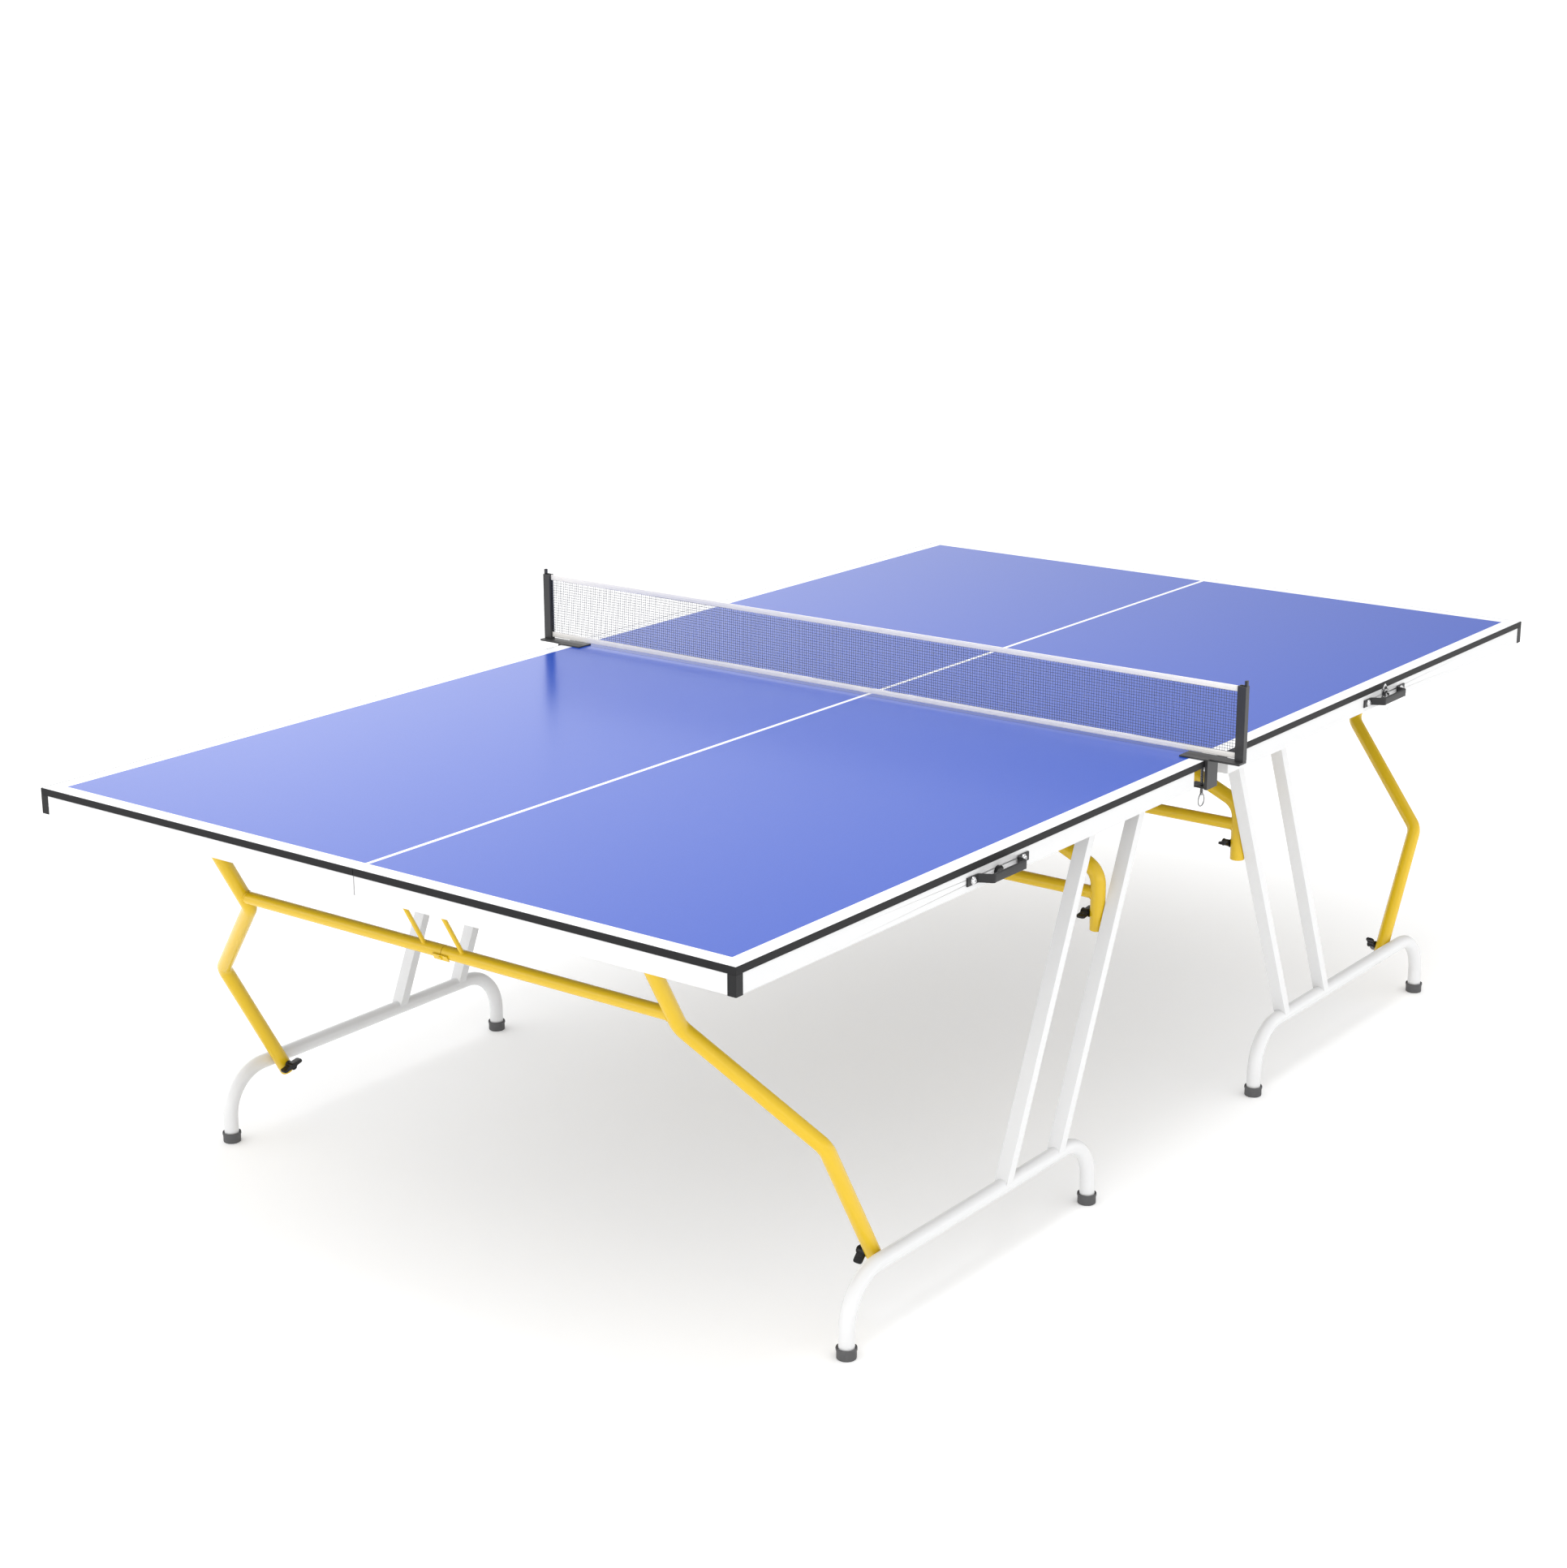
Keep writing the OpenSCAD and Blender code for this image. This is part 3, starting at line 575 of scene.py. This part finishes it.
def knob_shape():
    """A knob whose axis is Y, with its foot at y = 0 and its wings along X."""
    hub = lathed(
        [
            (HUB_R + 0.0006, KNOB_FOOT), (HUB_R + 0.0006, 0.003), (HUB_R - 0.0006, 0.0036),
            (HUB_R - 0.0008, KNOB_REACH - 0.003), (HUB_R, KNOB_REACH - 0.0024), (HUB_R, KNOB_REACH - 0.0008),
            (HUB_R - 0.0006, KNOB_REACH), (HUB_R - 0.002, KNOB_REACH), (HUB_R - 0.0026, KNOB_REACH - 0.0008),
        ]
    )
    stud = lathed([(STUD_R, -2 * LEG_R), (STUD_R, KNOB_FOOT + 0.001)], 24)
    upright = joined(hub, stud)

    def lay(point):
        return Vector((point.x, point.z, -point.y))

    middle = (KNOB_FOOT + KNOB_REACH) / 2
    wing = rounded_block(WING_SPAN, WING_W, WING_T, 0.0042, 0.0011)
    web = rounded_block(WING_SPAN * 0.56, WING_W - 0.002, WEB_T, 0.003, 0.0014)
    slabs = [
        placed(slab, lambda p, t=thick: Vector((p.x, p.y + middle, p.z - t / 2)))
        for slab, thick in ((wing, WING_T), (web, WEB_T))
    ]
    return joined(placed(upright, lay), *slabs)


for end, side in QUARTERS:
    for part in BRACES:
        knob_name = f"{END_NAMES[end]}_{part}_knob_{SIDE_NAMES[side]}"
        centre = Vector(JOINTS[knob_name + "_turn"]["pos_m"])
        along = wing_direction(NODES[knob_name], centre)
        inward = Vector((0, -side, 0))
        across = along.cross(inward)

        def to_knob(point):
            return centre + along * point.x + inward * point.y + across * point.z

        shape = outward(placed(knob_shape(), to_knob))
        make_piece(knob_name + "_wing", shape, KNOB_BLACK, knob_name, [knob_name], 30)

# ---- foot caps ----

CAP_LIP_R = 0.0175
NET_SIDE_FOOT = 0.311


def foot_cap():
    """A rubber cap with a flared lip round the tube."""
    return lathed(
        [
            (0.0152, 0), (0.0162, 0.0008), (0.0165, 0.002), (0.0165, 0.0128), (0.0168, 0.0142),
            (0.0174, 0.0152), (0.0175, 0.0182), (0.0171, 0.0196), (0.0163, 0.0199), (0.0152, 0.0182),
            (0.0139, 0.0168), (0.0139, 0.004),
        ],
        48,
    )


def cap_places():
    """The middle of each foot on the floor."""
    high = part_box("foot_caps")[1]
    out_x, out_y = high.x - CAP_LIP_R, high.y - CAP_LIP_R
    return [Vector((end * x, side * out_y, 0)) for end, side in QUARTERS for x in (NET_SIDE_FOOT, out_x)]


caps = [placed(foot_cap(), lambda p, spot=spot: p + spot) for spot in cap_places()]
make_piece("foot_cap_set", outward(joined(*caps)), RUBBER, "table", ["foot_caps"])

# ---- carry handles and their screws ----

HANDLE_LOW, HANDLE_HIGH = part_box("far_left_handle")
HANDLE_X = (HANDLE_LOW.x + HANDLE_HIGH.x) / 2
HANDLE_Z = (HANDLE_LOW.z + HANDLE_HIGH.z) / 2
APRON_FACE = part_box("far_left_apron")[1].y
HANDLE_OUT = HANDLE_HIGH.y - APRON_FACE
TAB_END, TAB_START, GRIP_END = 0.089, 0.060, 0.045
STRAP_T, GRIP_T, STRAP_H = 0.003, 0.0055, 0.0148
SCREW_PITCH = 0.073


def smooth(t):
    return t * t * (3 - 2 * t)


def handle_half():
    """Half a handle from tab to middle, as (distance along, distance out, thickness, height)."""
    tab_y = STRAP_T / 2
    stations = [(TAB_END, tab_y, STRAP_T, STRAP_H), (TAB_START + 0.002, tab_y, STRAP_T, STRAP_H)]
    grip_y = HANDLE_OUT - GRIP_T / 2
    steps = 14
    for i in range(1, steps + 1):
        t = i / steps
        along = TAB_START + (GRIP_END - TAB_START) * t
        out = tab_y + (grip_y - tab_y) * smooth(t)
        thick = STRAP_T + (GRIP_T - STRAP_T) * max(0.0, t * 3 - 2)
        stations.append((along, out, thick, STRAP_H))
    grip_h = STRAP_H - 0.001
    return stations + [(GRIP_END - 0.003, grip_y, GRIP_T, grip_h), (0.0, grip_y, GRIP_T, grip_h)]


def handle_shape():
    half = handle_half()
    whole = half + [(-x, y, t, h) for x, y, t, h in reversed(half[:-1])]
    rings = []
    for i, (x, y, thick, high) in enumerate(whole):
        before, after = whole[max(i - 1, 0)], whole[min(i + 1, len(whole) - 1)]
        tangent = Vector((after[0] - before[0], after[1] - before[1], 0)).normalized()
        normal = Vector((-tangent.y, tangent.x, 0))
        centre = Vector((x, y, 0))
        outline = rounded_rect(thick, high, 0.0007, 3)
        rings.append([centre + normal * u + Vector((0, 0, v)) for u, v in outline])
    return capped(rings)


def screw_shape():
    """A domed screw with a washer and a socket, its head's foot at z = 0."""
    return lathed(
        [
            (0.0025, -0.0075), (0.0025, 0), (0.0066, 0), (0.0068, 0.0004), (0.0066, 0.0009), (0.0059, 0.001),
            (0.0058, 0.0018), (0.0052, 0.0028), (0.0041, 0.0036), (0.0026, 0.0041), (0.0021, 0.0040),
            (0.0019, 0.0026), (0.0008, 0.0024),
        ],
        32,
    )


def on_apron(end, side, along, out, up=0.0):
    """Moves a point (along the table, up, outwards) to the apron's face at a handle."""

    def place(p):
        x = end * (HANDLE_X + along + p.x)
        return Vector((x, side * (APRON_FACE + out + p.z), HANDLE_Z + up + p.y))

    return place


screws = []
for end, side in QUARTERS:

    def to_handle(p):
        return Vector((end * (HANDLE_X + p.x), side * (APRON_FACE + p.y), HANDLE_Z + p.z))

    shape = placed(handle_shape(), to_handle)
    node_name = f"{END_NAMES[end]}_{SIDE_NAMES[side]}_handle"
    make_piece(node_name + "_strap", outward(shape), HANDLE_BLACK, "table", [node_name], 30)
    screws += [placed(screw_shape(), on_apron(end, side, s * SCREW_PITCH, STRAP_T)) for s in (-1, 1)]
make_piece("handle_screw_set", outward(joined(*screws)), CHROME, "table", ["handle_screws"], 30)

# ---- toggle latches ----

LATCHES = [(NEAR, LEFT), (FAR, RIGHT)]
LEAF_W, LEAF_T, LEAF_H = 0.024, 0.0012, 0.032
LEAF_DROP, LEAF_OUT = 0.0085, 0.0024
LOOP_R, LOOP_TOP, LOOP_LOW, LOOP_OUT = 0.006, 0.004, 0.022, 0.009
LOOP_WIRE_R = 0.0007
LATCH_PIN = Vector(JOINTS["far_latch_turn"]["pos_m"])
LATCH_OUT = abs(LATCH_PIN.y) - APRON_FACE


def leaf_plate():
    """A pressed leaf, narrow at both ends, lying behind the lever's pin."""
    rings = []
    rows, half_columns = 14, 4
    for i in range(rows + 1):
        t = i / rows
        half = max(0.0006, LEAF_W / 2 * math.sin(math.pi * (0.12 + 0.84 * t)) ** 0.8)
        front = []
        for k in range(2 * half_columns + 1):
            across = k / half_columns - 1
            front.append(Vector((half * across, LEAF_H * t, -0.0003 * across**2)))
        back = [p - Vector((0, 0, LEAF_T)) for p in reversed(front)]
        rings.append(front + back)
    return capped(rings)


def latch_base():
    block = rounded_block(0.021, 0.022, 0.0018, 0.003, 0.0005)
    lug = rounded_block(0.0018, 0.008, LATCH_OUT + 0.003, 0.0006, 0.0003)
    lugs = [placed(lug, lambda p, s=s: p + Vector((s * 0.008, 0, 0))) for s in (-1, 1)]
    return joined(block, *lugs)


def latch_loop():
    """The wire loop that hangs from the base."""
    arc = []
    steps = 12
    for i in range(steps + 1):
        angle = math.pi * i / steps
        arc.append(Vector((LOOP_R * math.cos(angle), -LOOP_LOW - LOOP_R * math.sin(angle), 0)))
    route = [Vector((LOOP_R, -LOOP_TOP, 0))] + arc + [Vector((-LOOP_R, -LOOP_TOP, 0))]
    return swept(route, circle(LOOP_WIRE_R, 10), Vector((0, 0, 1)))


def latch_lever():
    """A hooked strip on a pin."""
    strip = rounded_block(0.0096, 0.0125, 0.0016, 0.002, 0.0004)
    hook = rounded_block(0.0088, 0.0022, 0.0046, 0.0008, 0.0004)
    strip = placed(strip, lambda p: p + Vector((0, 0.0062, -0.0008)))
    hook = placed(hook, lambda p: p + Vector((0, 0.0122, -0.0006)))
    pin = lathed([(0.0012, -0.009), (0.0015, -0.0087), (0.0015, 0.0087), (0.0012, 0.009)], 20)
    barrel = lathed([(0.0021, -0.0058), (0.0023, -0.0055), (0.0023, 0.0055), (0.0021, 0.0058)], 24)
    turned = placed(joined(pin, barrel), lambda p: Vector((p.z, p.y, -p.x)))
    return joined(strip, hook, turned)


bases, leaves = [], []
for end, side in LATCHES:
    bases.append(placed(latch_base(), on_apron(end, side, 0, 0)))
    leaves.append(placed(leaf_plate(), on_apron(end, side, 0, LEAF_OUT, -LEAF_DROP)))
    leaves.append(placed(latch_loop(), on_apron(end, side, 0, LOOP_OUT)))
    node_name = f"{END_NAMES[end]}_latch_lever"
    lever = placed(latch_lever(), on_apron(end, side, 0, LATCH_OUT, LATCH_PIN.z - HANDLE_Z))
    make_piece(node_name + "_hook", outward(lever), CHROME, node_name, [node_name], 30)
make_piece("latch_base_set", outward(joined(*bases)), KNOB_BLACK, "table", ["latch_bases"], 30)
make_piece("latch_leaf_set", outward(joined(*leaves)), CHROME, "table", (), 30)

# ---- clamp screws ----

THREAD_PITCH = 0.001
RING_R, RING_WIRE = 0.0108, 0.0011
SCREW_R, SCREW_ROOT_R, PAD_R = 0.003, 0.0026, 0.006


def clamp_screw(side):
    """A threaded screw with a pad on top and an egg-shaped wire ring below."""
    low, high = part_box(f"clamp_screw_{SIDE_NAMES[side]}")
    axis = Vector(JOINTS[f"clamp_screw_{SIDE_NAMES[side]}_turn"]["pos_m"])
    ring_z = low.z + 0.0125
    foot_z, pad_z = ring_z + RING_R + 0.003, high.z - 0.0027
    turns = int((pad_z - foot_z) / THREAD_PITCH)
    root = SCREW_ROOT_R
    profile = [(root, foot_z - 0.004), (SCREW_R, foot_z - 0.0035), (SCREW_R, foot_z)]
    for i in range(turns):
        z = foot_z + (i + 0.5) * THREAD_PITCH
        profile += [(root, z - 0.0002), (root, z), (0.00295, z + 0.0003), (0.00295, z + 0.0004)]
    profile += [
        (root, pad_z), (0.0056, pad_z), (PAD_R, pad_z + 0.0004), (PAD_R, high.z - 0.0006), (0.0056, high.z),
    ]
    ring = []
    for a in angles_of(48):
        stretch = 1 + 0.22 * max(0.0, math.sin(a)) ** 2
        ring.append(Vector((RING_R * math.cos(a), 0, ring_z + RING_R * math.sin(a) * stretch)))
    loop = swept(ring, circle(RING_WIRE, 12), Vector((0, 1, 0)), closed=True)
    shape = joined(lathed(profile, 24), loop)
    return placed(shape, lambda p: p + Vector((axis.x, axis.y, 0)))


for side in (LEFT, RIGHT):
    node_name = f"clamp_screw_{SIDE_NAMES[side]}"
    shape = outward(clamp_screw(side))
    make_piece(node_name + "_thread", shape, WIRE, node_name, [node_name], 30)

# ---- net ----

NET_LOW, NET_HIGH = TOP_Z + 0.006, TOP_Z + 0.139
TAPE_H, TAPE_T = 0.011, 0.0022
NET_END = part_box("net")[1].y
MESH_PITCH = 0.0052
THREAD_R = 0.0004


def net_tape(low, high):
    """A folded tape with rounded edges and a slight, uneven sag."""
    stations = 120
    draw = random.Random(7)
    waves = []
    for _ in range(4):
        waves.append((draw.uniform(3, 9), draw.uniform(0, 6.28), draw.uniform(0.0001, 0.0003)))
    rings = []
    for i in range(stations + 1):
        y = -NET_END + 2 * NET_END * i / stations
        drift = sum(size * math.sin(count * y * math.pi + phase) for count, phase, size in waves)
        ring = [
            Vector((x + drift, y, (low + high) / 2 + z))
            for x, z in rounded_rect(TAPE_T, high - low, TAPE_T * 0.45, 3)
        ]
        rings.append(ring)
    return outward(capped(rings))


def net_threads():
    """Upright and level threads between the tapes, each a thin round strand with a small weave."""
    shapes = []
    low, high = NET_LOW + TAPE_H * 0.5, NET_HIGH - TAPE_H * 0.5
    section = circle(THREAD_R, 6)
    draw = random.Random(11)
    count = int(2 * NET_END / MESH_PITCH)
    rows = int((high - low) / MESH_PITCH)
    for i in range(count):
        y = -NET_END + (i + 0.5) * 2 * NET_END / count + draw.uniform(-0.0004, 0.0004)
        lean = draw.uniform(-0.0005, 0.0005)
        centres = [
            Vector((THREAD_R * 0.5 * (-1) ** (i + k), y + lean * k / rows, low + (high - low) * k / rows))
            for k in range(rows + 1)
        ]
        shapes.append(swept(centres, section, Vector((1, 0, 0))))
    for k in range(1, rows):
        z = low + (high - low) * k / rows
        centres = [
            Vector((-THREAD_R * 0.5, -NET_END + 2 * NET_END * i / 60, z + draw.uniform(-0.0003, 0.0003)))
            for i in range(61)
        ]
        shapes.append(swept(centres, section, Vector((1, 0, 0))))
    return outward(joined(*shapes))


net_mesh = make_piece("net_mesh", net_threads(), THREAD, "table", ["net"])
top_tape = make_piece("net_top_tape", net_tape(NET_HIGH - TAPE_H, NET_HIGH), TAPE, "table")
low_tape = make_piece("net_low_tape", net_tape(NET_LOW, NET_LOW + TAPE_H), TAPE, "table")

# ---- stage, light and camera ----


def add_floor():
    """A white floor wide enough to meet the backdrop with no line."""
    reach = 400
    corners = [(-reach, -reach, 0), (reach, -reach, 0), (reach, reach, 0), (-reach, reach, 0)]
    mesh = bpy.data.meshes.new("floor")
    mesh.from_pydata(corners, [], [(0, 1, 2, 3)])
    material = bpy.data.materials.new("floor_white")
    material.use_nodes = True
    shader = material.node_tree.nodes["Principled BSDF"]
    shader.inputs["Base Color"].default_value = (0.92, 0.92, 0.92, 1)
    shader.inputs["Roughness"].default_value = 0.9
    shader.inputs["Specular IOR Level"].default_value = 0.1
    shader.inputs["Emission Color"].default_value = (1, 1, 1, 1)
    shader.inputs["Emission Strength"].default_value = 0.17
    mesh.materials.append(material)
    floor = bpy.data.objects.new("floor", mesh)
    bpy.context.scene.collection.objects.link(floor)


def add_area_light(name, location, target, size, power):
    data = bpy.data.lights.new(name, "AREA")
    data.shape = "DISK"
    data.size = size
    data.energy = power
    light = bpy.data.objects.new(name, data)
    bpy.context.scene.collection.objects.link(light)
    light.location = location
    light.rotation_euler = (Vector(target) - Vector(location)).to_track_quat("-Z", "Y").to_euler()


def add_camera():
    azimuth, elevation, roll = (math.radians(angle) for angle in (37.36, -16.04, -0.23))
    level = math.cos(elevation)
    look = Vector((level * math.cos(azimuth), level * math.sin(azimuth), math.sin(elevation)))
    data = bpy.data.cameras.new("camera")
    data.sensor_fit = "HORIZONTAL"
    data.sensor_width = 36.0
    data.lens = 63.35
    camera = bpy.data.objects.new("camera", data)
    bpy.context.scene.collection.objects.link(camera)
    camera.location = (-4.222, -3.025, 2.074)
    turn = look.to_track_quat("-Z", "Y").to_matrix() @ Matrix.Rotation(roll, 3, "Z")
    camera.rotation_euler = turn.to_euler()
    bpy.context.scene.camera = camera


DIM_AZIMUTH = math.radians(5)
BACKDROP_STRENGTH = 1.3


def ramp(tree, source, span, values):
    """A clamped straight ramp of source: values[0] at span[0] and values[1] at span[1]."""
    node = tree.nodes.new("ShaderNodeMapRange")
    for name, value in zip(("From Min", "From Max", "To Min", "To Max"), (*span, *values)):
        node.inputs[name].default_value = value
    tree.links.new(source, node.inputs["Value"])
    return node.outputs["Result"]


def white_background(tree, strength):
    """A white background shader whose strength is a linked output."""
    background = tree.nodes.new("ShaderNodeBackground")
    background.inputs["Color"].default_value = (1, 1, 1, 1)
    tree.links.new(strength, background.inputs["Strength"])
    return background.outputs["Background"]


def chosen(tree, choice, otherwise, when):
    """One of two shaders, by a light path output."""
    mix = tree.nodes.new("ShaderNodeMixShader")
    tree.links.new(choice, mix.inputs["Fac"])
    tree.links.new(otherwise, mix.inputs[1])
    tree.links.new(when, mix.inputs[2])
    return mix.outputs["Shader"]


def set_world():
    """A white studio. What the boards mirror is dimmer to the far end and higher up, and the soft
    light is stronger from the near end."""
    scene = bpy.context.scene
    world = bpy.data.worlds.new("studio")
    scene.world = world
    world.use_nodes = True
    tree = world.node_tree
    backdrop = tree.nodes["Background"]
    backdrop.inputs["Strength"].default_value = BACKDROP_STRENGTH
    backdrop.inputs["Color"].default_value = (1, 1, 1, 1)
    coords = tree.nodes.new("ShaderNodeTexCoord")
    facing = tree.nodes.new("ShaderNodeVectorMath")
    facing.operation = "DOT_PRODUCT"
    facing.inputs[1].default_value = (math.cos(DIM_AZIMUTH), math.sin(DIM_AZIMUTH), 0)
    tree.links.new(coords.outputs["Generated"], facing.inputs[0])
    split = tree.nodes.new("ShaderNodeSeparateXYZ")
    tree.links.new(coords.outputs["Generated"], split.inputs["Vector"])
    product = tree.nodes.new("ShaderNodeMath")
    product.operation = "MULTIPLY"
    tree.links.new(ramp(tree, facing.outputs["Value"], (0.70, 1.0), (1.6, 0.12)), product.inputs[0])
    tree.links.new(ramp(tree, split.outputs["Z"], (0.15, 0.36), (1.5, 0.6)), product.inputs[1])
    mirrored = white_background(tree, product.outputs[0])
    ambient = white_background(tree, ramp(tree, facing.outputs["Value"], (-1.0, 1.0), (1.62, 0.72)))
    path = tree.nodes.new("ShaderNodeLightPath")
    lighting = chosen(tree, path.outputs["Is Diffuse Ray"], mirrored, ambient)
    surface = chosen(tree, path.outputs["Is Camera Ray"], lighting, backdrop.outputs["Background"])
    tree.links.new(surface, tree.nodes["World Output"].inputs["Surface"])
    scene.view_settings.view_transform = "Standard"


add_floor()
set_world()
add_area_light("overhead", (-0.8, -0.5, 4.2), (0.1, -0.1, 0.7), 2.2, 60)
add_camera()
